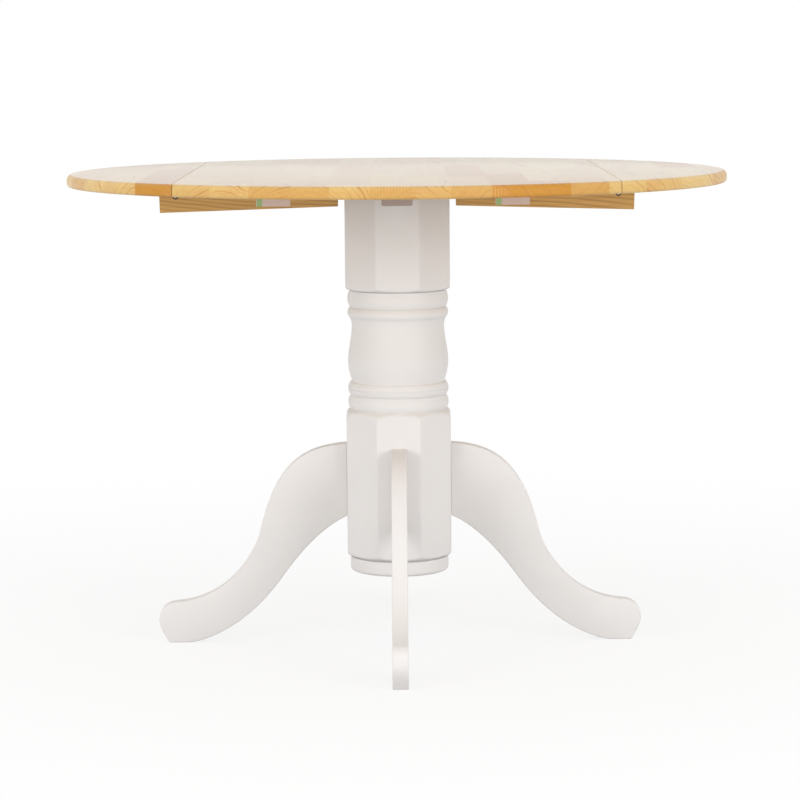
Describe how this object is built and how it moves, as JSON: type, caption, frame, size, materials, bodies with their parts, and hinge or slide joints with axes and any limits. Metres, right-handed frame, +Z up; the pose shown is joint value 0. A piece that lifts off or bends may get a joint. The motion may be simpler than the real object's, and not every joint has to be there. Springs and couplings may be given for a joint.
{
  "type": "round drop-leaf table",
  "caption": "Round drop-leaf table with a natural wood top, hinged leaves on swing-out supports and a white turned pedestal on S-curved legs.",
  "frame": {"origin": "on the floor under the middle of the column, which is the bottom centre of the whole table", "axes": "+Z up, +X across the seams towards the right leaf, +Y along the seams towards the back"},
  "size_m": [1.066, 1.066, 0.775],
  "materials": {
    "natural_wood": "lacquered rubberwood staves, satin",
    "support_wood": "planed, thin lacquer",
    "white_paint": "white sprayed lacquer over wood, satin",
    "zinc_steel": "zinc plated",
    "hinge_steel": "burnished dark",
    "bar_steel": "grey powder coat",
    "insert_brass": "turned",
    "nylon": "natural",
    "plug_plastic": "moulded grey",
    "label_paper": "blank paper label with a plain green band"
  },
  "bodies": {
    "pedestal": {"centre_panel": "natural_wood", "mounting_bar": "bar_steel", "bar_end_plugs": "plug_plastic", "bar_panel_screws": "zinc_steel", "bar_column_bolts": "zinc_steel", "bar_column_washers": "zinc_steel", "column": "white_paint", "front_leg": "white_paint", "back_leg": "white_paint", "left_leg": "white_paint", "right_leg": "white_paint", "leg_bolts": "zinc_steel", "leg_washers": "zinc_steel", "leg_nuts": "zinc_steel", "base_disc": "white_paint", "base_disc_screws": "zinc_steel", "left_front_fixed_plate": "hinge_steel", "left_back_fixed_plate": "hinge_steel", "right_front_fixed_plate": "hinge_steel", "right_back_fixed_plate": "hinge_steel", "left_front_pin": "zinc_steel", "left_back_pin": "zinc_steel", "right_front_pin": "zinc_steel", "right_back_pin": "zinc_steel", "fixed_hinge_screws": "hinge_steel", "left_pivot_bolt": "zinc_steel", "right_pivot_bolt": "zinc_steel", "pivot_inserts": "insert_brass", "pivot_washers": "zinc_steel", "glide_washers": "nylon"},
    "left_leaf_body": {"left_leaf": "natural_wood", "left_front_leaf_plate": "hinge_steel", "left_back_leaf_plate": "hinge_steel", "left_leaf_hinge_screws": "hinge_steel", "left_rest_block": "support_wood", "left_rest_screws": "zinc_steel"},
    "right_leaf_body": {"right_leaf": "natural_wood", "right_front_leaf_plate": "hinge_steel", "right_back_leaf_plate": "hinge_steel", "right_leaf_hinge_screws": "hinge_steel", "right_rest_block": "support_wood", "right_rest_screws": "zinc_steel"},
    "left_support_body": {"left_arm": "support_wood", "left_arm_label": "label_paper"},
    "right_support_body": {"right_arm": "support_wood", "right_arm_label": "label_paper"}
  },
  "joints": [
    {"name": "left_leaf_drop", "type": "hinge", "parent": "pedestal", "child": "left_leaf_body", "pos_m": [-0.334, 0, 0.753], "axis": [0, -1, 0], "range_deg": [0, 90]},
    {"name": "right_leaf_drop", "type": "hinge", "parent": "pedestal", "child": "right_leaf_body", "pos_m": [0.334, 0, 0.753], "axis": [0, 1, 0], "range_deg": [0, 90]},
    {"name": "left_support_swing", "type": "hinge", "parent": "pedestal", "child": "left_support_body", "pos_m": [-0.118, 0, 0.74], "axis": [0, 0, -1], "range_deg": [0, 90]},
    {"name": "right_support_swing", "type": "hinge", "parent": "pedestal", "child": "right_support_body", "pos_m": [0.118, 0, 0.74], "axis": [0, 0, -1], "range_deg": [0, 90]}
  ],
  "couplings": [
    {"joint": "left_support_swing", "follows": "left_leaf_drop", "ratio": 1},
    {"joint": "right_support_swing", "follows": "right_leaf_drop", "ratio": 1}
  ]
}
